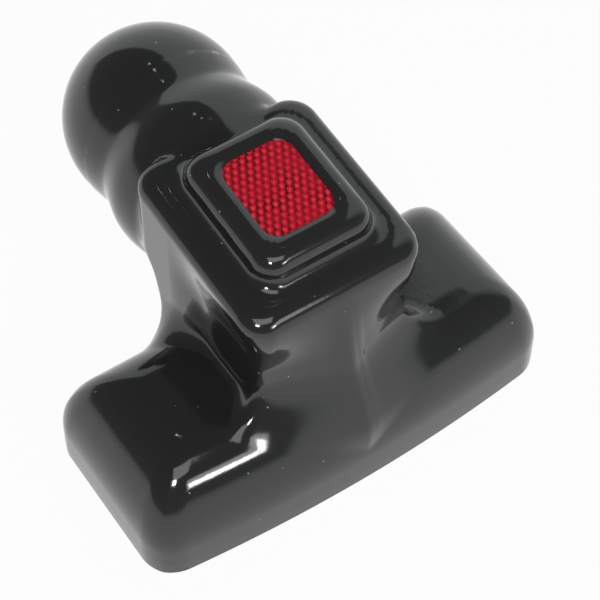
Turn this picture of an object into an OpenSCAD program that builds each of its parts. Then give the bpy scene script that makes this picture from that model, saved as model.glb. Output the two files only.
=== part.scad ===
// Moulded cover for a flange tow ball: a ball pocket on an elbow that opens into a two-winged
// flange cover, with a red reflector behind a window on the face that points away from the car.
// X runs along the flange cover, +Y is up the ball's axis when fitted, +Z points away from the car.
// The open rim lies in the plane z = 0.

/* [Wall] */
// Thickness of the moulded wall
wall_t = 3; // [2:0.25:4]

/* [Flange cover] */
// Length of the flange cover at its rim, along X
flange_len = 140; // [128:1:156]
// Depth of the flange cover at its rim, along Y
flange_dep = 65; // [62:1:72]
// Height of the flange cover
flange_h = 35; // [30:1:38]
// Radius of its corners at the rim
flange_corner_r = 9.5; // [6:0.5:14]
// How far the crown between its walls and its top reaches inward
crown_w = 20; // [14:1:22]
// How far the crown reaches down
crown_h = 25; // [18:1:28]
// Height of the straight band at the rim
rim_band_h = 4; // [2:0.5:8]
// Lean of the front wall and the two end walls
wall_lean = 1.25; // [0.5:0.25:3]
// Lean of the wall under the ball
back_lean = 1; // [0.5:0.25:3]
// How far the foot edge bows outward at its middle
foot_bow = 4.5; // [2:0.25:6]

/* [Tower] */
// Width of the tower at its top
tower_w = 58.5; // [56:0.5:62]
// Rise of the tower's top over the ball's axis, in the plane of the foot edge
top_rise = 17.5; // [15:0.5:22]
// Depth from the foot edge to the head's shoulder, where the neck comes out
head_dep = 80; // [76:1:86]
// Depth from the foot edge to the back of the stem under the head
stem_dep = 63.5; // [60:0.5:66]
// Lean of the tower's front wall
front_lean = 11.75; // [8:0.25:13]
// Slope of the top, rising toward the ball
top_slope = 6.25; // [3:0.25:8]
// Radius of the tower's upright edges
upright_r = 8; // [6:0.5:12]
// Radius of the rounding round the tower's top
top_r = 7; // [4:0.5:9]
// Radius of the blend from the tower to the wings
wing_blend_r = 9; // [4:0.5:12]
// Depth of the head's rounded underside, below the ball's axis
keel_dep = 31; // [30:0.5:34]
// Radius of the underside's two long edges
keel_r = 20; // [14:1:26]
// Radius of the blend from the underside to the stem
elbow_r = 8; // [4:0.5:12]

/* [Ball pocket] */
// Diameter of the tow ball
ball_d = 50; // [50:0.5:52]
// Slack between the ball and the pocket, all round
ball_slack = 1; // [0.5:0.25:2]
// Height of the ball's axis over the rim
ball_axis_h = 55; // [52:0.5:58]
// Distance from the shoulder to the ball's centre
ball_reach = 33.5; // [30:0.5:38]
// Largest radius of the collar on the neck
collar_r = 30; // [28:0.5:31]
// Radius at the bottom of the groove between collar and ball
groove_r = 27.25; // [26:0.25:28]

/* [Reflector boss] */
// Width of the boss at its foot
boss_w = 38; // [36:0.5:41]
// Length of the boss at its foot
boss_len = 45; // [42:0.5:48]
// Height of the boss over the tower's top
boss_h = 9; // [8:0.5:12]
// Radius of the boss's upright corners
boss_corner_r = 7; // [4:0.5:9]
// Radius of the rounding round the boss's top
boss_top_r = 3.5; // [2:0.25:5]
// Width of the window
window_w = 22; // [19:1:24]
// Length of the window
window_len = 28; // [24:1:30]
// Radius of the window's corners
window_corner_r = 5; // [3:0.5:7]
// Depth from the boss's top to the lens
window_deep = 2; // [1.5:0.25:3]
// Distance from the tower's front wall to the boss
boss_set_back = 10; // [9:0.5:13]

/* [Reflector] */
// How far the lens reaches past the window on each side
lens_overlap = 3; // [2:0.25:4]
// Thickness of the lens in front of its prisms
lens_t = 2; // [1.5:0.25:3]
// Distance between neighbouring prisms
prism_pitch = 2.4; // [2:0.1:4]
// Thickness of the plate welded behind the lens
plate_t = 1.5; // [1:0.25:2.5]
// Height of the weld rim round the prisms
weld_rim_t = 1.5; // [1:0.25:2.5]

/* [Hidden] */

// Steps on each upright corner, each rounding, the bowed foot edge and the turned neck
corner_steps = 7;
round_steps = 6;
bow_steps = 6;
neck_steps = 8;
// How far a form runs into its neighbour, or past a face that it cuts
bite = 1;
// Share of the blend to the wings that is left at the foot edge
blend_front = 0.4;
// How far behind the foot edge the tower's front wall would meet the rim's plane
front_set = 0.6;

// Height at which the slope of the tower's top meets the plane of the foot edge
tower_h = ball_axis_h + top_rise;

// Ball pocket, outside: its radius, its place, and where the neck's groove and collar lie
ball_r = ball_d / 2 + ball_slack + wall_t;
ball_y = head_dep + ball_reach;
groove_half = sqrt(pow(ball_r, 2) - pow(groove_r, 2));
groove_y = ball_y - groove_half - 1;
collar_y = head_dep + (groove_y - head_dep) / 3;

// The origin lies under the middle of the whole cover
mid_y = (ball_y + ball_r) / 2;

// Boss: how far its foot spreads, how far its walls lean in, and its middle along Y
boss_foot_r = 2;
boss_lean = 0.6;
boss_y = front_at(tower_h) + boss_set_back + boss_len / 2;
window_lip_r = 1.2;

// Reflector: its face, its outline and the seat round it, in the boss's own frame
lens_z = boss_h - window_deep;
lens_w = window_w + 2 * lens_overlap;
lens_len = window_len + 2 * lens_overlap;
lens_corner_r = window_corner_r + lens_overlap / 2;
lens_gap = 0.3;

// Prisms: the gap between them, the radius and a third of the cube's height, how far one runs
// into the lens, the distance between rows, and the half size and the counts of the field
prism_gap = 0.12;
prism_r = (prism_pitch - prism_gap) / sqrt(3);
prism_step = prism_r / sqrt(2);
prism_sink = 0.3;
prism_dep = 2 * prism_step;
prism_row = prism_pitch * sqrt(3) / 2;
field_w = lens_w / 2 - weld_rim_t - prism_r - prism_gap;
field_len = lens_len / 2 - weld_rim_t - prism_r - prism_gap;
prism_rows = floor(field_len / prism_row);
prism_cols = floor(field_w / prism_pitch);

// Back of the lens, and the end of its weld rim, where the plate begins
back_z = lens_z - lens_t;
rim_z = back_z - prism_dep - prism_gap;

// Where the tower's front wall stands at height z
function front_at(z) = z * tan(front_lean) + front_set;

// A quarter round of size r at step i of n: how far in and how far up it has come
function in_at(i, n, r) = r * (1 - cos(90 * i / n));
function up_at(i, n, r) = r * sin(90 * i / n);

// Outline of a rounded rectangle at height z, from x = -w to w and y = y0 to y1, with its front
// edge bowed forward in the middle
function outline(w, y0, y1, r, z, bow = 0) = concat(
    [for (i = [0:corner_steps]) let (a = 90 * i / corner_steps)
        [w - r + r * cos(a), y1 - r + r * sin(a), z]],
    [for (i = [0:corner_steps]) let (a = 90 + 90 * i / corner_steps)
        [-w + r + r * cos(a), y1 - r + r * sin(a), z]],
    [for (i = [0:corner_steps]) let (a = 180 + 90 * i / corner_steps)
        bowed([-w + r + r * cos(a), y0 + r + r * sin(a), z], w, y0, r, bow)],
    [for (i = [1:bow_steps - 1]) let (x = (w - r) * (2 * i / bow_steps - 1))
        bowed([x, y0, z], w, y0, r, bow)],
    [for (i = [0:corner_steps]) let (a = 270 + 90 * i / corner_steps)
        bowed([w - r + r * cos(a), y0 + r + r * sin(a), z], w, y0, r, bow)]
);
function bowed(p, w, y0, r, bow) =
    [p[0], p[1] - bow * (1 - pow(p[0] / w, 2)) * (1 - (p[1] - y0) / r), p[2]];

// Solid through a stack of outlines that have the same number of points
module skin(rings) {
    n = len(rings[0]);
    last = len(rings) - 1;
    polyhedron(
        points = [for (ring = rings) each ring],
        faces = concat(
            [[for (i = [0:n - 1]) i]],
            [[for (i = [n - 1:-1:0]) last * n + i]],
            [for (k = [0:last - 1], i = [0:n - 1])
                let (j = (i + 1) % n, a = k * n, b = a + n)
                each [[a + i, b + i, a + j], [a + j, b + i, b + j]]]
        ),
        convexity = 6
    );
}

// Two-winged flange cover, t inside its outer surface
module flange_form(t) {
    wall_top = flange_h - crown_h;
    function ring(z, inset) = let (lean_z = max(0, z - rim_band_h)) outline(
        flange_len / 2 - lean_z * tan(wall_lean) - inset,
        foot_bow + lean_z * tan(wall_lean) + inset,
        flange_dep - lean_z * tan(back_lean) - inset,
        max(flange_corner_r - inset, 1),
        z,
        foot_bow
    );
    skin(concat(
        [ring(t > 0 ? -bite : 0, t), ring(rim_band_h, t)],
        [for (i = [0:round_steps])
            ring(wall_top + up_at(i, round_steps, crown_h - t), t + in_at(i, round_steps, crown_w - t))]
    ));
}

// Stem between the flange cover and the head
module stem_form(t) {
    function ring(z, inset) = outline(
        tower_w / 2 - inset, front_at(z) + inset, stem_dep - inset, upright_r - min(inset, t), z);
    skin([
        ring(t > 0 ? -bite : 0, t),
        ring(ball_axis_h, t),
        ring(ball_axis_h + bite, t + bite)
    ]);
}

// Blend from the stem's sides onto the tops of the wings, wider toward the back
module wing_blend(t) {
    low = flange_h - t - crown_h / 2;
    y0 = front_at(flange_h + wing_blend_r) + bite + t;
    y1 = stem_dep - upright_r / 2 - 2 * t;
    function ring(z, flare) = [
        for (p = outline(tower_w / 2 - t, y0 + flare / 2, y1 - flare, upright_r - t, z))
            [p[0] + sign(p[0]) * flare * (blend_front + p[1] / stem_dep), p[1], p[2]]];
    skin(concat(
        [ring(low, wing_blend_r + t)],
        [for (i = [0:round_steps])
            let (a = 90 * i / round_steps, r = wing_blend_r + t)
            ring(flange_h - t + r * (1 - cos(a)), r * (1 - sin(a)) - (i == round_steps ? bite : 0))]
    ));
}

// Head over the ball's axis, with its sloping top
module head_form(t) {
    function sloped(p) = [p[0], p[1],
        p[2] + p[1] * tan(top_slope) * (p[2] - ball_axis_h) / (tower_h - t - ball_axis_h)];
    function ring(z, inset) = [for (p = outline(
        tower_w / 2 - inset, front_at(z) + inset, head_dep - inset, upright_r - t - (inset - t) / 2, z))
        sloped(p)];
    skin(concat(
        [ring(ball_axis_h, t)],
        [for (i = [0:round_steps])
            ring(tower_h - top_r + up_at(i, round_steps, top_r - t), t + in_at(i, round_steps, top_r - t))]
    ));
}

// Rounded underside of the head, swept along the ball's axis from the stem to the shoulder
module keel_form(t) {
    function section(y, inset, drop) = let (
        w = tower_w / 2 - inset,
        dep = keel_dep - inset + drop,
        r = keel_r - inset
    ) concat(
        [[w - bite, y, ball_axis_h + bite], [w, y, ball_axis_h]],
        [for (i = [0:corner_steps]) let (a = 90 * i / corner_steps)
            [w - r + r * cos(a), y, ball_axis_h - dep + r - r * sin(a)]],
        [for (i = [0:corner_steps]) let (a = 90 + 90 * i / corner_steps)
            [-w + r + r * cos(a), y, ball_axis_h - dep + r - r * sin(a)]],
        [[-w, y, ball_axis_h], [-w + bite, y, ball_axis_h + bite]]
    );
    skin(concat(
        [section(stem_dep - t - 2 * bite, t, elbow_r + t)],
        [for (i = [0:round_steps])
            let (a = 90 * i / round_steps, r = elbow_r + t)
            section(stem_dep - t + r * (1 - cos(a)), t, r * (1 - sin(a)))],
        [for (i = [0:round_steps])
            section(head_dep - upright_r + up_at(i, round_steps, upright_r - t),
                t + in_at(i, round_steps, upright_r - t), 0)]
    ));
}

// Neck with its collar and groove, and the ball pocket, all turned about the ball's axis
module ball_form(t) {
    start = head_dep - upright_r;
    end = ball_y - groove_half / 2;
    function neck_at(y) = y < collar_y
        ? collar_r - pow((collar_y - y) / (collar_y - head_dep), 2)
        : groove_r + (collar_r - groove_r) * (1 + cos(180 * (y - collar_y) / (groove_y - collar_y))) / 2;
    stations = concat(
        [start, head_dep - 2],
        [for (i = [0:2]) head_dep + (collar_y - head_dep) * i / 3],
        [for (i = [0:neck_steps]) collar_y + (groove_y - collar_y) * i / neck_steps]
    );
    translate([0, 0, ball_axis_h]) rotate([-90, 0, 0]) {
        rotate_extrude()
            polygon(concat(
                [[0, start]],
                [for (y = stations) [neck_at(y) - t, y]],
                [[groove_r - t, end], [0, end]]
            ));
        translate([0, 0, ball_y]) sphere(r = ball_r - t);
    }
}

// Everything inside one skin of the moulding, t inside the outer surface
module moulding(t) {
    flange_form(t);
    stem_form(t);
    wing_blend(t);
    head_form(t);
    keel_form(t);
    ball_form(t);
}

// Frame of the boss: its foot on the sloping top of the head, +Z out of the window
module on_boss() {
    translate([0, boss_y, tower_h + boss_y * tan(top_slope)]) rotate([top_slope, 0, 0]) children();
}

function boss_ring(w, l, r, z) = outline(w / 2, -l / 2, l / 2, r, z);

// Boss round the window
module boss_form() {
    function ring(z, inset) =
        boss_ring(boss_w - 2 * inset, boss_len - 2 * inset, boss_corner_r - inset / 2, z);
    skin(concat(
        [ring(-bite, -boss_foot_r)],
        [for (i = [0:round_steps]) let (a = 90 * i / round_steps)
            ring(boss_foot_r * (1 - cos(a)), -boss_foot_r * (1 - sin(a)))],
        [for (i = [0:round_steps])
            ring(boss_h - boss_top_r + up_at(i, round_steps, boss_top_r),
                boss_lean + in_at(i, round_steps, boss_top_r))]
    ));
}

// Window with its rounded lip, and the seat behind it that takes the lens
module window_cut() {
    function ring(z, flare) =
        boss_ring(window_w + 2 * flare, window_len + 2 * flare, window_corner_r + flare, z);
    skin(concat(
        [ring(lens_z - bite, 0)],
        [for (i = [0:round_steps]) let (a = 90 * i / round_steps)
            ring(boss_h - window_lip_r + window_lip_r * sin(a), window_lip_r * (1 - cos(a)))],
        [ring(boss_h + bite, window_lip_r)]
    ));
    seat = [
        boss_ring(lens_w + 2 * lens_gap, lens_len + 2 * lens_gap, lens_corner_r, -wall_t - bite),
        boss_ring(lens_w + 2 * lens_gap, lens_len + 2 * lens_gap, lens_corner_r, lens_z)
    ];
    skin(seat);
}

// Moulded cover in one piece
module cover() {
    color([0.05, 0.05, 0.055]) translate([0, -mid_y, 0]) difference() {
        union() {
            moulding(0);
            on_boss() boss_form();
        }
        moulding(wall_t);
        on_boss() window_cut();
    }
}

// Plate of the lens or the backing, from z0 to z1 in the boss's frame
module lens_plate(z0, z1, inset = 0) {
    skin([for (z = [z0, z1])
        boss_ring(lens_w - 2 * inset, lens_len - 2 * inset, lens_corner_r - inset / 2, z)]);
}

// One corner cube, its square corner pointing away from the lens
module prism() {
    hull() {
        translate([0, 0, -prism_dep]) cylinder(h = prism_step, r1 = 0, r2 = prism_r, $fn = 3);
        translate([0, 0, -prism_step]) rotate(60)
            cylinder(h = prism_step + prism_sink, r = prism_r, $fn = 3);
    }
}

// Field of corner cubes, each row half a step along from the last
module prism_field() {
    for (j = [-prism_rows:prism_rows], i = [-prism_cols - 1:prism_cols]) {
        x = (i + (j % 2 == 0 ? 0 : 0.5)) * prism_pitch;
        if (abs(x) <= field_w) translate([x, j * prism_row, 0]) rotate(90) prism();
    }
}

// Red lens: a flat front, a weld rim round its back, and corner cubes inside the rim
module reflector_lens() {
    color([0.8, 0.02, 0.05]) translate([0, -mid_y, 0]) on_boss() {
        difference() {
            lens_plate(rim_z, lens_z);
            lens_plate(rim_z - bite, back_z, weld_rim_t);
        }
        translate([0, 0, back_z]) prism_field();
    }
}

// Plate welded behind the lens, which keeps the air behind the prisms
module reflector_plate() {
    color([0.25, 0.25, 0.27]) translate([0, -mid_y, 0]) on_boss()
        lens_plate(rim_z - plate_t, rim_z);
}

cover();
reflector_lens();
reflector_plate();
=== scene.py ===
import math

import bmesh
import bpy
import numpy as np
from mathutils import Matrix, Vector


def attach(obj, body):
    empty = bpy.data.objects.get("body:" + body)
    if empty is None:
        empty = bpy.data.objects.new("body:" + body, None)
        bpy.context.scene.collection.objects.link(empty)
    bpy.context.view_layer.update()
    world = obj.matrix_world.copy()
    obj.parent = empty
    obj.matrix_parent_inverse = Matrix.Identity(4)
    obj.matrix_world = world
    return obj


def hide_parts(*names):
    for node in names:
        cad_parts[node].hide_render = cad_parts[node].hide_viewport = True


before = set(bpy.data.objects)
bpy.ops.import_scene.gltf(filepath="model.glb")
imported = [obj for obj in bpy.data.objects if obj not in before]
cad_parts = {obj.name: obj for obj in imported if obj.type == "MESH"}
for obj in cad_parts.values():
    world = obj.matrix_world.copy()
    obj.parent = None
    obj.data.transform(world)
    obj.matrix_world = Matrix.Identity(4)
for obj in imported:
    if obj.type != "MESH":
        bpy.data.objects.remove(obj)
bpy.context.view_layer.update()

# The moulding in millimetres. x runs along the foot from its middle, y from the middle of the foot's
# front edge to the ball, z up from the rim. A pair in brackets is a span over which a value changes.
# Names with _W, and the lengths of boss, window and seat, are half sizes.
WALL = 3.0

# Foot: size, half axes of its crown, upright band over the rim, bow of its front edge
FLANGE_W, FLANGE_D, FLANGE_H = 70.0, 65.0, 35.0
CROWN_W, CROWN_H, BAND_H, FOOT_BOW = 20.0, 25.0, 4.0, 4.5
FOOT_R, FOOT_R_FALL, FOOT_R_SPAN = 9.5, 0.3, 18.0
WALL_LEAN = math.tan(math.radians(1.25))

# Tower: size, depth of the head and of the stem under it, slopes of its front and its top
TOWER_W, TOWER_H, HEAD_D, STEM_D = 29.25, 72.5, 80.0, 63.5
FRONT_LEAN, FRONT_SET = math.radians(11.75), 1.0
TOP_SLOPE = math.radians(6.25)
CAP_R, SIDE_R, HEAD_R = 4.5, 8.0, 9.0
# Below the cap the walls draw in, up to the stem's back, and the front's corners fall back
CAP_DROP, TAPER, TAPER_END = (2.0, 24.0), 3.0, (44.0, 60.0)
CORNER_X, CORNER_Y, CORNER_R, RIDGE = 26.2, 20.0, 3.0, 0.08
# The head's underside is rounder than its sides
KEEL_RUN, KEEL_RISE, KEEL_R = 8.0, (38.0, 54.0), 12.0

# Rib up the tower's front: one long slope on its left, two short ones on its right
RIB_H, RIB_START, RIB_CREST = 0.7, (9.0, 18.0), 0.4
RIB_LEFT, RIB_LEFT_GAIN, RIB_LEFT_SPAN = 1.5, 7.0, (10.0, 66.0)
RIB_FALLS = ((0.4, 3.2), (3.6, 6.4))

# Ball end: ball, groove before it, collar, and where the collar starts inside the head
AXIS_H, BALL_R, BALL_Y = 55.0, 29.0, 113.5
GROOVE_R, GROOVE_Y, COLLAR_R, COLLAR_Y = 27.25, 102.58, 30.0, 87.5
COLLAR_RUN, COLLAR_CUT, NECK_START, NECK_PAST = 7.5, 2.2, 71.0, 4.0
KEEL_Z = AXIS_H - 31.0
MID_Y = (BALL_Y + BALL_R) / 2

# Blends. The one between foot and tower is tight in the middle of the wings and at the rim
WING_BLEND, END_BLEND, RIM_BLEND = 2.4, 9.6, 0.6
BLEND_FRONT, BLEND_BACK = (15.0, 30.0), (38.0, 62.0)
BLEND_RISE, BLEND_LIFT, BLEND_LIFT_Y = (8.0, 26.0), 0.8, 12.0
NECK_BLEND, BALL_BLEND, BOSS_BLEND = 2.0, 2.5, 3.2

# Boss on the sloping top, its window with a rounded lip, and the lens's seat under the window
BOSS_W, BOSS_L, BOSS_H, BOSS_R = 19.0, 22.5, 9.0, 7.0
BOSS_EDGE_R, BOSS_ROOT, BOSS_DRAFT, BOSS_SPREAD = 4.0, 5.0, 0.16, 0.6
CAP_SET, BOSS_GAP = 0.6, 10.0
BOSS_Y = TOWER_H * math.tan(FRONT_LEAN) + CAP_SET + BOSS_GAP + BOSS_L
BOSS_Z = TOWER_H + BOSS_Y * math.tan(TOP_SLOPE)
WIN_W, WIN_L, WIN_R, LENS_Z = 11.0, 14.0, 5.0, 7.0
LIP_W, LIP_L, LIP_R, LIP_DEPTH = 10.2, 13.1, 3.0, 3.0
SEAT_W, SEAT_L, SEAT_R, SEAT_ROOT = 14.3, 17.3, 6.5, 2.0

# Beaded face of the lens: its beads, its height over the top and its reach past the window
PITCH, BEAD_H = 2.4, 0.16
FACE_Z, FACE_OVER, FACE_R, FACE_SINK = 8.2, 1.0, 0.3, 0.2

# Meshing: grid steps, grid planes worked out at a time, and how points are drawn to the surface
SKIN_STEP, FACE_STEP, SLAB = 1.2, 0.3, 16
SKIN_LOW, SKIN_HIGH = (-FLANGE_W, 0.0, -1.5), (FLANGE_W, BALL_Y + BALL_R, 89.0)
FACE_LOW = (-WIN_W - FACE_OVER, BOSS_Y - WIN_L - 2.0, BOSS_Z + 4.8)
FACE_HIGH = (WIN_W + FACE_OVER, BOSS_Y + WIN_L + 2.0, BOSS_Z + 11.0)
PULLS, PULL_PROBE, PULL_LIMIT, LEAST_SLOPE = 4, 0.02, 0.4, 0.2
NORMAL_PROBE, NORMAL_AGREE = 0.03, 0.7

BLACK, DUST = (0.021, 0.0215, 0.021, 1.0), (0.45, 0.45, 0.45, 1.0)

# Lamps: name, azimuth and elevation in degrees, width and height in metres, power in watts
LAMP_FAR, LAMP_AIM = 0.9, (0.0, 0.0, 0.05)
LAMPS = (
    ("front_strip", 7, 28, 0.13, 0.09, 0.7),
    ("front_fill", 10, 30, 0.32, 0.20, 0.7),
    ("camera_lamp", -40, 47, 0.09, 0.09, 1.6),
    ("back_lamp", 163, 65, 0.02, 0.02, 0.02),
    ("top_card", 122, 70, 0.030, 0.022, 0.003),
    ("soft_top", -20, 61, 0.50, 0.28, 1.0),
)

# Camera fitted to the photograph's edges, in degrees, metres and pixels
CAMERA_AZIMUTH, CAMERA_ELEVATION, CAMERA_ROLL = -34.64, 52.80, 0.47
CAMERA_FAR, CAMERA_SHIFT, CAMERA_AIM = 0.52456, (-0.00305, 0.01385), (0.0, 0.031, 0.03)
FOCAL_PX, IMAGE_PX, SENSOR = 1788.83, 600.0, 36.0


def smooth_step(a, b, v):
    t = np.clip((v - a) / (b - a), 0.0, 1.0)
    return t * t * (3 - 2 * t)


def rounded_max(a, b, r):
    h = np.clip(r - np.abs(a - b), 0.0, None) / r
    return np.maximum(a, b) + r * 0.5 * (1 + h - np.sqrt(1 - h * (h - 2)))


def rounded_min(a, b, r):
    return -rounded_max(-a, -b, r)


# Each field below is negative inside its form and close to the distance near its surface
def flange_at(x, y, z):
    front = FOOT_BOW * (x / FLANGE_W) ** 2
    qx = np.abs(x) - FLANGE_W
    qy = np.abs(y - (front + FLANGE_D) / 2) - (FLANGE_D - front) / 2
    r = FOOT_R - FOOT_R_FALL * np.clip(-np.maximum(qx, qy), 0.0, FOOT_R_SPAN)
    s = rounded_max(qx, qy, r) + WALL_LEAN * np.maximum(z - BAND_H, 0.0)
    du = CROWN_W + s
    dz = z - (FLANGE_H - CROWN_H)
    k0 = np.sqrt((du / CROWN_W) ** 2 + (dz / CROWN_H) ** 2)
    k1 = np.sqrt((du / CROWN_W ** 2) ** 2 + (dz / CROWN_H ** 2) ** 2)
    crown = k0 * (k0 - 1) / np.maximum(k1, 1e-6)
    crown = np.where(du <= 0, z - FLANGE_H, crown)
    return np.where(dz <= 0, np.maximum(s, z - FLANGE_H), crown)


def rib_at(x, z):
    wide = RIB_LEFT + RIB_LEFT_GAIN * smooth_step(*RIB_LEFT_SPAN, z)
    rise = smooth_step(-wide, RIB_CREST, x)
    fall = sum(0.5 * smooth_step(*span, x) for span in RIB_FALLS)
    return RIB_H * (rise - fall) * smooth_step(*RIB_START, z)


def tower_at(x, y, z):
    top = (z - TOWER_H - y * math.tan(TOP_SLOPE)) * math.cos(TOP_SLOPE)
    below = smooth_step(*CAP_DROP, -top)
    taper = TAPER * below * (1 - smooth_step(*TAPER_END, y))
    side = np.abs(x) - TOWER_W + taper
    across = np.sqrt((x / CORNER_X) ** 2 + RIDGE ** 2) - RIDGE
    face = z * math.tan(FRONT_LEAN) + FRONT_SET
    face = face + below * across * (CORNER_Y - face)
    front = (face - rib_at(x, z) * below - y) * math.cos(FRONT_LEAN)
    head = rounded_max(y - HEAD_D, KEEL_Z - z, HEAD_R)
    back = rounded_min(y - STEM_D, head, HEAD_R)
    keel = smooth_step(STEM_D, STEM_D + KEEL_RUN, y) * (1 - smooth_step(*KEEL_RISE, z))
    body = rounded_max(side, back, SIDE_R + KEEL_R * keel)
    body = rounded_max(body, front, SIDE_R - (SIDE_R - CORNER_R) * below)
    return rounded_max(body, top, CAP_R)


def neck_at(x, y, z):
    rho = np.sqrt(x ** 2 + (z - AXIS_H) ** 2)
    t = np.clip((y - COLLAR_Y) / (GROOVE_Y - COLLAR_Y), 0.0, 1.0)
    r = GROOVE_R + (COLLAR_R - GROOVE_R) * (1 + np.cos(np.pi * t)) / 2
    r = r - np.clip((COLLAR_Y - y) / COLLAR_RUN, 0.0, COLLAR_CUT) ** 2
    return np.maximum(rho - r, np.maximum(y - GROOVE_Y - NECK_PAST, NECK_START - y))


def ball_at(x, y, z):
    return np.sqrt(x ** 2 + (y - BALL_Y) ** 2 + (z - AXIS_H) ** 2) - BALL_R


def core_at(x, y, z):
    ends = 1 - smooth_step(*BLEND_FRONT, y) + smooth_step(*BLEND_BACK, y)
    r = WING_BLEND + END_BLEND * ends
    lift = z + BLEND_LIFT * np.maximum(y - BLEND_LIFT_Y, 0.0)
    r = RIM_BLEND + (r - RIM_BLEND) * smooth_step(*BLEND_RISE, lift)
    d = rounded_min(flange_at(x, y, z), tower_at(x, y, z), r)
    d = rounded_min(d, neck_at(x, y, z), NECK_BLEND)
    return rounded_min(d, ball_at(x, y, z), BALL_BLEND)


def in_boss(y, z):
    """Place along the sloping top from the boss's middle, and height over the top."""
    dy, dz = y - BOSS_Y, z - BOSS_Z
    c, s = math.cos(TOP_SLOPE), math.sin(TOP_SLOPE)
    return dy * c + dz * s, dz * c - dy * s


def cover_at(x, y, z):
    core = core_at(x, y, z)
    v, w = in_boss(y, z)
    draft = BOSS_DRAFT * w - BOSS_SPREAD
    sides = rounded_max(np.abs(x) - BOSS_W + draft, np.abs(v) - BOSS_L + draft, BOSS_R)
    boss = np.maximum(rounded_max(sides, w - BOSS_H, BOSS_EDGE_R), -w - BOSS_ROOT)
    outer = rounded_min(core, boss, BOSS_BLEND)
    window = rounded_max(np.abs(x) - LIP_W, np.abs(v) - LIP_L, WIN_R)
    outer = rounded_max(outer, np.minimum(-window, w - LENS_Z + LIP_DEPTH), LIP_R)
    seat = rounded_max(np.abs(x) - SEAT_W, np.abs(v) - SEAT_L, SEAT_R)
    seat = np.maximum(seat, w - LENS_Z)
    seat = np.maximum(seat, -w - WALL - SEAT_ROOT)
    hollow = np.minimum(core + WALL, seat)
    return np.maximum(outer, -hollow)


def lens_at(x, y, z):
    v, w = in_boss(y, z)
    across, along = PITCH, PITCH * math.sqrt(3)
    near = []
    for shift in (0.0, 0.5):
        du = (x / across + shift - np.round(x / across + shift)) * across
        dv = (v / along + shift - np.round(v / along + shift)) * along
        near.append(np.sqrt(du ** 2 + dv ** 2))
    bead = BEAD_H * (1 - (2 * np.minimum(*near) / PITCH) ** 2)
    sides = rounded_max(np.abs(x) - WIN_W - FACE_OVER, np.abs(v) - WIN_L - FACE_OVER,
                        WIN_R + FACE_OVER)
    return np.maximum(rounded_max(sides, w - FACE_Z - bead, FACE_R), LENS_Z - FACE_SINK - w)


def differences(field, points, reach):
    """Change of the field across each point, from reach before it to reach past it, per axis."""
    sides = []
    for step in np.eye(3) * reach:
        sides.append(field(*(points + step).T) - field(*(points - step).T))
    return np.stack(sides, axis=1)


def grid_points(values, axes, step):
    """One point in each grid cell that the surface crosses, and the cells' row of each point."""
    shape = tuple(n - 1 for n in values.shape)
    total = np.zeros(shape + (3,))
    count = np.zeros(shape)
    corners = [(a, b, c) for a in (0, 1) for b in (0, 1) for c in (0, 1)]
    for c0 in corners:
        for axis in range(3):
            if c0[axis]:
                continue
            c1 = list(c0)
            c1[axis] = 1
            v0, v1 = (values[tuple(slice(a, a + n) for a, n in zip(c, shape))] for c in (c0, c1))
            cross = (v0 < 0) != (v1 < 0)
            t = np.where(cross, v0 / np.where(cross, v0 - v1, 1.0), 0.0)
            for k in range(3):
                total[..., k] += np.where(cross, c0[k] + (t if k == axis else 0.0), 0.0)
            count += cross
    used = count > 0
    index = np.full(shape, -1, np.int64)
    index[used] = np.arange(used.sum())
    points = (np.argwhere(used) + total[used] / count[used][:, None]) * step
    return points + np.array([a[0] for a in axes]), index


def grid_quads(values, index):
    """A face across each grid edge that the surface crosses, turned to face outwards."""
    inside = values < 0
    shape = index.shape
    quads = []
    for axis in range(3):
        o1, o2 = [k for k in range(3) if k != axis]
        a = [slice(0, n) for n in values.shape]
        b = [slice(0, n) for n in values.shape]
        a[axis] = slice(0, values.shape[axis] - 1)
        b[axis] = slice(1, values.shape[axis])
        sa, sb = inside[tuple(a)], inside[tuple(b)]
        for flip, hit in ((False, sa & ~sb), (True, ~sa & sb)):
            e = np.argwhere(hit)
            e = e[(e[:, o1] > 0) & (e[:, o2] > 0) & (e[:, o1] < shape[o1]) & (e[:, o2] < shape[o2])]
            ring = []
            for d1, d2 in ((1, 1), (0, 1), (0, 0), (1, 0)):
                c = e.copy()
                c[:, o1] -= d1
                c[:, o2] -= d2
                ring.append(index[c[:, 0], c[:, 1], c[:, 2]])
            q = np.stack(ring, axis=1)
            if flip != (axis == 1):
                q = q[:, ::-1]
            quads.append(q)
    return np.concatenate(quads)


def mesh_from(field, low, high, step):
    """Points and four-sided faces of the field's surface, in millimetres."""
    pad = 1.5 * step
    axes = [np.arange(a - pad, b + pad, step) for a, b in zip(low, high)]
    values = np.empty([len(a) for a in axes], np.float32)
    for i in range(0, len(axes[0]), SLAB):
        gx, gy, gz = np.meshgrid(axes[0][i:i + SLAB], axes[1], axes[2], indexing="ij")
        values[i:i + SLAB] = field(gx, gy, gz)
    points, index = grid_points(values, axes, step)
    quads = grid_quads(values, index)
    for _ in range(PULLS):
        g = differences(field, points, PULL_PROBE) / (2 * PULL_PROBE)
        size = np.maximum((g ** 2).sum(axis=1), LEAST_SLOPE)
        move = -(field(*points.T) / size)[:, None] * g
        points = points + np.clip(move, -PULL_LIMIT * step, PULL_LIMIT * step)
    return points, quads


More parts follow.
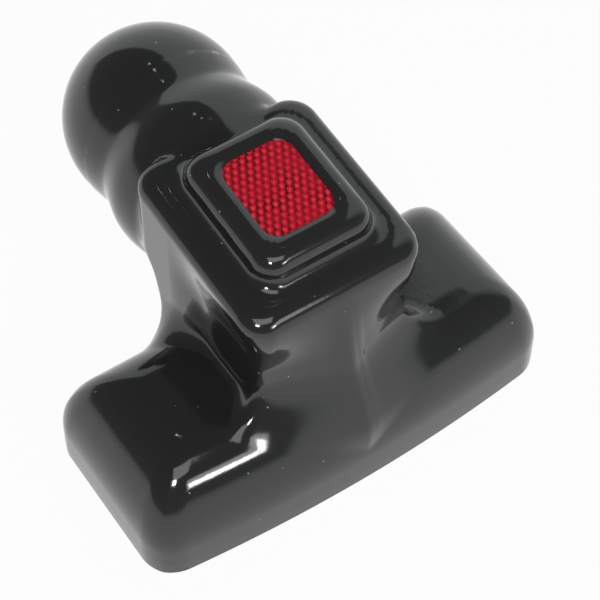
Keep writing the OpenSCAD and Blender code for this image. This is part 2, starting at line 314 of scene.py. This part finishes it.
def smooth_normals(mesh, field):
    """Shade with the field's own slope, but with the face's normal where the two part at an edge."""
    verts = np.empty(len(mesh.vertices) * 3, np.float32)
    mesh.vertices.foreach_get("co", verts)
    verts = verts.reshape(-1, 3).astype(np.float64)
    places = verts * 1000.0 + np.array([0.0, MID_Y, 0.0])
    normals = differences(field, places, NORMAL_PROBE)
    normals /= np.maximum(np.linalg.norm(normals, axis=1), 1e-9)[:, None]
    corner = np.empty(len(mesh.loops), np.int32)
    mesh.loops.foreach_get("vertex_index", corner)
    normals = normals[corner]
    count = len(mesh.polygons)
    flat, total = np.empty(count * 3), np.empty(count, np.int32)
    mesh.polygons.foreach_get("normal", flat)
    mesh.polygons.foreach_get("loop_total", total)
    flat = np.repeat(flat.reshape(-1, 3), total, axis=0)
    away = (normals * flat).sum(axis=1) < NORMAL_AGREE
    normals[away] = flat[away]
    mesh.normals_split_custom_set(normals.tolist())


def link(obj):
    bpy.context.scene.collection.objects.link(obj)
    return obj


def to_object(name, points, faces, field):
    """The surface as an object in metres, cut flat at the floor."""
    mesh = bpy.data.meshes.new(name)
    verts = (points - np.array([0.0, MID_Y, 0.0])) / 1000.0
    mesh.vertices.add(len(verts))
    mesh.vertices.foreach_set("co", verts.astype(np.float32).ravel())
    mesh.loops.add(faces.size)
    mesh.loops.foreach_set("vertex_index", faces.astype(np.int32).ravel())
    mesh.polygons.add(len(faces))
    mesh.polygons.foreach_set("loop_start", np.arange(0, faces.size, 4, dtype=np.int32))
    mesh.polygons.foreach_set("loop_total", np.full(len(faces), 4, dtype=np.int32))
    mesh.update(calc_edges=True)
    mesh.validate()
    shape = bmesh.new()
    shape.from_mesh(mesh)
    everything = list(shape.verts) + list(shape.edges) + list(shape.faces)
    bmesh.ops.bisect_plane(shape, geom=everything, dist=1e-6, plane_co=(0, 0, 0),
                           plane_no=(0, 0, 1), clear_inner=True)
    rim = [e for e in shape.edges if e.is_boundary]
    if rim:
        bmesh.ops.triangle_fill(shape, edges=rim, use_beauty=True, normal=(0, 0, -1))
    for edge in rim:
        edge.smooth = False
    shape.to_mesh(mesh)
    shape.free()
    mesh.shade_smooth()
    smooth_normals(mesh, field)
    return link(bpy.data.objects.new(name, mesh))


def material(name, color, rough):
    mat = bpy.data.materials.new(name)
    mat.use_nodes = True
    shader = mat.node_tree.nodes["Principled BSDF"]
    shader.inputs["Base Color"].default_value = color
    shader.inputs["Roughness"].default_value = rough
    return mat, mat.node_tree.nodes, mat.node_tree.links, shader


def math_node(nodes, links, op, a, b=None, c=None):
    node = nodes.new("ShaderNodeMath")
    node.operation = op
    for socket, value in zip(node.inputs, (a, b, c)):
        if value is None:
            continue
        if isinstance(value, (int, float)):
            socket.default_value = value
        else:
            links.new(value, socket)
    return node.outputs[0]


def map_range(nodes, links, value, low, high, top, kind):
    node = nodes.new("ShaderNodeMapRange")
    node.interpolation_type = kind
    for name, number in (("From Min", low), ("From Max", high), ("To Min", 0.0), ("To Max", top)):
        node.inputs[name].default_value = number
    links.new(value, node.inputs["Value"])
    return node.outputs["Result"]


def noise_at(nodes, links, coord, scale, detail):
    node = nodes.new("ShaderNodeTexNoise")
    node.inputs["Scale"].default_value = scale
    node.inputs["Detail"].default_value = detail
    links.new(coord, node.inputs["Vector"])
    return node.outputs["Fac"]


def specks(nodes, links, coord, scale, size, keep):
    """Round specks of a size in those cells whose random value is over keep."""
    cell = nodes.new("ShaderNodeTexVoronoi")
    cell.inputs["Scale"].default_value = scale
    links.new(coord, cell.inputs["Vector"])
    near = math_node(nodes, links, "LESS_THAN", cell.outputs["Distance"], size)
    split = nodes.new("ShaderNodeSeparateColor")
    links.new(cell.outputs["Color"], split.inputs[0])
    chosen = math_node(nodes, links, "GREATER_THAN", split.outputs[0], keep)
    return math_node(nodes, links, "MULTIPLY", near, chosen)


def ramp_at(nodes, links, value, stops):
    """Colour of a value by stops of a place and a colour, in the order of their places."""
    node = nodes.new("ShaderNodeValToRGB")
    elements = node.color_ramp.elements
    for element, (place, color) in zip(elements, (stops[0], stops[-1])):
        element.position, element.color = place, (*color, 1.0)
    for place, color in stops[1:-1]:
        elements.new(place).color = (*color, 1.0)
    links.new(value, node.inputs[0])
    return node.outputs[0]


def mix_color(nodes, links, share, a, b):
    node = nodes.new("ShaderNodeMix")
    node.data_type = "RGBA"
    for name, value in (("Factor", share), ("A", a), ("B", b)):
        if isinstance(value, tuple):
            node.inputs[name].default_value = value
        else:
            links.new(value, node.inputs[name])
    return node.outputs["Result"]


def add_bump(nodes, links, shader, height, strength, distance, invert=False):
    node = nodes.new("ShaderNodeBump")
    node.invert = invert
    node.inputs["Strength"].default_value = strength
    node.inputs["Distance"].default_value = distance
    links.new(height, node.inputs["Height"])
    links.new(node.outputs["Normal"], shader.inputs["Normal"])


def make_pvc():
    """Glossy black PVC with slow waves, a fine grain, haze and a few specks of dust."""
    mat, nodes, links, shader = material("black_pvc", BLACK, 0.07)
    shader.inputs["IOR"].default_value = 1.54
    shader.inputs["Coat Weight"].default_value = 0.2
    shader.inputs["Coat Roughness"].default_value = 0.10
    coord = nodes.new("ShaderNodeTexCoord").outputs["Object"]
    wave = noise_at(nodes, links, coord, 40.0, 1.0)
    grain = noise_at(nodes, links, coord, 400.0, 2.0)
    haze = noise_at(nodes, links, coord, 70.0, 3.0)
    dust = specks(nodes, links, coord, 400.0, 0.090, 0.90)
    swell = math_node(nodes, links, "MULTIPLY", wave, 8.0)
    height = math_node(nodes, links, "ADD", swell, grain)
    height = math_node(nodes, links, "MULTIPLY_ADD", dust, 2.0, height)
    add_bump(nodes, links, shader, height, 0.35, 0.00005)
    rough = math_node(nodes, links, "MULTIPLY_ADD", haze, 0.07, 0.05)
    rough = math_node(nodes, links, "MULTIPLY_ADD", dust, 0.5, rough)
    links.new(rough, shader.inputs["Roughness"])
    links.new(mix_color(nodes, links, dust, BLACK, DUST), shader.inputs["Base Color"])
    return mat


def make_red():
    """Red acrylic with painted light: a hex field of beads with a painted highlight in their
    middles, and painted shade between them and along one row.
    """
    mat, nodes, links, shader = material("red_prisms", (0.55, 0.004, 0.02, 1.0), 0.3)
    shader.inputs["IOR"].default_value = 1.49
    shader.inputs["Specular IOR Level"].default_value = 0.2
    coord = nodes.new("ShaderNodeTexCoord").outputs["Object"]
    turn = nodes.new("ShaderNodeMapping")
    turn.inputs["Rotation"].default_value = (-TOP_SLOPE, 0.0, 0.0)
    links.new(coord, turn.inputs["Vector"])
    split = nodes.new("ShaderNodeSeparateXYZ")
    links.new(turn.outputs["Vector"], split.inputs[0])
    wide, long = PITCH / 1000.0, PITCH * math.sqrt(3) / 1000.0
    far = []
    for shift in (0.0, 0.5):
        square = []
        for axis, span in ((0, wide), (1, long)):
            u = math_node(nodes, links, "MULTIPLY_ADD", split.outputs[axis], 1 / span, shift)
            whole = math_node(nodes, links, "ROUND", u)
            off = math_node(nodes, links, "SUBTRACT", u, whole)
            off = math_node(nodes, links, "MULTIPLY", off, 2 * span / wide)
            square.append(math_node(nodes, links, "MULTIPLY", off, off))
        both = math_node(nodes, links, "ADD", square[0], square[1])
        far.append(math_node(nodes, links, "SQRT", both))
    cell = math_node(nodes, links, "MINIMUM", far[0], far[1])
    row = wide * math.sqrt(0.75)
    slant = math_node(nodes, links, "MULTIPLY", split.outputs[1], -0.5 / row)
    slant = math_node(nodes, links, "MULTIPLY_ADD", split.outputs[0], math.sqrt(0.75) / row, slant)
    whole = math_node(nodes, links, "ROUND", slant)
    slant = math_node(nodes, links, "SUBTRACT", slant, whole)
    slant = math_node(nodes, links, "ABSOLUTE", slant)
    blur = noise_at(nodes, links, coord, 900.0, 1.0)
    patch = noise_at(nodes, links, coord, 130.0, 1.0)
    # Painted light: this value gives each bead a painted highlight in its middle, and painted shade
    # between the beads and along one row of slanting lines; fine noise varies it at random.
    bead_light_level = math_node(nodes, links, "MULTIPLY_ADD", blur, 0.3, -0.2)
    bead_light_level = math_node(nodes, links, "MULTIPLY_ADD", cell, 0.70, bead_light_level)
    bead_light_level = math_node(nodes, links, "MULTIPLY_ADD", slant, 0.75, bead_light_level)
    bead_light_colour = ramp_at(nodes, links, bead_light_level, (
        (0.0, (1.0, 0.10, 0.14)), (0.26, (0.95, 0.012, 0.055)), (0.56, (0.80, 0.005, 0.03)),
        (0.76, (0.40, 0.004, 0.012)), (0.92, (0.06, 0.006, 0.006))))
    # Random patches of plain red lie over part of the painted bead highlights and shade.
    share = math_node(nodes, links, "MULTIPLY_ADD", patch, 1.6, -0.6)
    color = mix_color(nodes, links, share, bead_light_colour, (0.62, 0.004, 0.026, 1.0))
    links.new(color, shader.inputs["Base Color"])
    add_bump(nodes, links, shader, cell, 0.4, 0.0002, invert=True)
    return mat


def make_plate():
    mat, nodes, links, shader = material("grey_plate", (0.12, 0.12, 0.13, 1.0), 0.5)
    coord = nodes.new("ShaderNodeTexCoord").outputs["Object"]
    add_bump(nodes, links, shader, noise_at(nodes, links, coord, 900.0, 2.0), 0.3, 0.0001)
    return mat


def dress(node, mat):
    obj = bpy.data.objects[node]
    obj.data.materials.clear()
    obj.data.materials.append(mat)


def make_floor():
    """White to the camera and to what mirrors it, with the cover's shadow kept."""
    mat, nodes, links, shader = material("white_floor", (0.85, 0.85, 0.85, 1.0), 0.8)
    path = nodes.new("ShaderNodeLightPath")
    glow = nodes.new("ShaderNodeEmission")
    glow.inputs["Strength"].default_value = 1.0
    mix = nodes.new("ShaderNodeMixShader")
    seen = math_node(nodes, links, "MAXIMUM", path.outputs["Is Camera Ray"],
                     path.outputs["Is Glossy Ray"])
    share = math_node(nodes, links, "MULTIPLY", seen, 0.96)
    links.new(share, mix.inputs[0])
    links.new(shader.outputs[0], mix.inputs[1])
    links.new(glow.outputs[0], mix.inputs[2])
    links.new(mix.outputs[0], nodes["Material Output"].inputs["Surface"])
    return mat


def make_world():
    """Pale low down and in a screen behind to the right, dark overhead, white to the camera."""
    world = bpy.data.worlds.new("tent")
    bpy.context.scene.world = world
    world.use_nodes = True
    nodes, links = world.node_tree.nodes, world.node_tree.links
    coord = nodes.new("ShaderNodeTexCoord").outputs["Generated"]
    split = nodes.new("ShaderNodeSeparateXYZ")
    links.new(coord, split.inputs[0])
    x, y, z = split.outputs
    levels = ((0.0, 1.0), (0.11, 0.85), (0.22, 0.20), (0.55, 0.14), (1.0, 0.10))
    walls = ramp_at(nodes, links, z, [(place, (level,) * 3) for place, level in levels])
    side = math_node(nodes, links, "MULTIPLY_ADD", z, -0.95, x)
    screen = map_range(nodes, links, side, -0.40, -0.34, 0.9, "SMOOTHSTEP")
    behind = map_range(nodes, links, y, -0.3, 0.0, 1.0, "LINEAR")
    screen = math_node(nodes, links, "MULTIPLY", screen, behind)
    glow = math_node(nodes, links, "MAXIMUM", walls, screen)
    across = math_node(nodes, links, "MULTIPLY_ADD", x, 0.5, 0.5)
    hue = ramp_at(nodes, links, across, ((0.0, (0.96, 1.0, 0.95)), (1.0, (0.93, 0.98, 1.0))))
    tent = nodes["Background"]
    links.new(hue, tent.inputs["Color"])
    links.new(glow, tent.inputs["Strength"])
    white = nodes.new("ShaderNodeBackground")
    white.inputs["Color"].default_value = (1.0, 1.0, 1.0, 1.0)
    path = nodes.new("ShaderNodeLightPath")
    mix = nodes.new("ShaderNodeMixShader")
    links.new(path.outputs["Is Camera Ray"], mix.inputs[0])
    links.new(tent.outputs[0], mix.inputs[1])
    links.new(white.outputs[0], mix.inputs[2])
    links.new(mix.outputs[0], nodes["World Output"].inputs["Surface"])


def direction(azimuth, elevation):
    """Unit vector from the cover, with azimuth 0 in front of it and 90 degrees at its +X side."""
    return Vector((math.sin(azimuth) * math.cos(elevation),
                   -math.cos(azimuth) * math.cos(elevation), math.sin(elevation)))


def lamp(name, azimuth, elevation, wide, high, power):
    data = bpy.data.lights.new(name, "AREA")
    data.shape = "RECTANGLE"
    data.size, data.size_y = wide, high
    data.energy = power
    obj = link(bpy.data.objects.new(name, data))
    toward = direction(math.radians(azimuth), math.radians(elevation))
    obj.location = Vector(LAMP_AIM) + toward * LAMP_FAR
    obj.rotation_euler = toward.to_track_quat("Z", "Y").to_euler()


def set_camera():
    azimuth, roll = math.radians(CAMERA_AZIMUTH), math.radians(CAMERA_ROLL)
    back = direction(azimuth, math.radians(CAMERA_ELEVATION))
    right = Vector((math.cos(azimuth), math.sin(azimuth), 0.0))
    up = back.cross(right)
    turned_right = right * math.cos(roll) + up * math.sin(roll)
    turned_up = up * math.cos(roll) - right * math.sin(roll)
    aim = Vector(CAMERA_AIM) - Vector((0.0, MID_Y / 1000, 0.0))
    aim = right * CAMERA_SHIFT[0] + up * CAMERA_SHIFT[1] + aim
    data = bpy.data.cameras.new("camera")
    data.sensor_fit = "HORIZONTAL"
    data.sensor_width = SENSOR
    data.lens = FOCAL_PX / IMAGE_PX * SENSOR
    data.clip_start = 0.01
    obj = link(bpy.data.objects.new("camera", data))
    turn = Matrix((turned_right, turned_up, back)).transposed().to_4x4()
    obj.matrix_world = Matrix.Translation(aim + back * CAMERA_FAR) @ turn
    bpy.context.scene.camera = obj


# Cover: the moulded skin as one smooth hollow mesh
points, quads = mesh_from(cover_at, SKIN_LOW, SKIN_HIGH, SKIN_STEP)
cover = to_object("cover_skin", points, quads, cover_at)
cover.data.materials.append(make_pvc())
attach(cover, "root")
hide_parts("cover")

# Beaded face of the reflector, standing in the window on the lens
red = make_red()
points, quads = mesh_from(lens_at, FACE_LOW, FACE_HIGH, FACE_STEP)
face = to_object("lens_face", points, quads, lens_at)
face.data.materials.append(red)
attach(face, "root")

dress("reflector_lens", red)
dress("reflector_plate", make_plate())

# Floor, just under the rim
floor_mesh = bpy.data.meshes.new("floor")
floor_mesh.from_pydata([(-3, -3, 0), (3, -3, 0), (3, 3, 0), (-3, 3, 0)], [], [(0, 1, 2, 3)])
floor_mesh.materials.append(make_floor())
floor = link(bpy.data.objects.new("floor", floor_mesh))
floor.location.z = -0.0002

make_world()
for row in LAMPS:
    lamp(*row)
set_camera()
bpy.context.scene.view_settings.view_transform = "Standard"
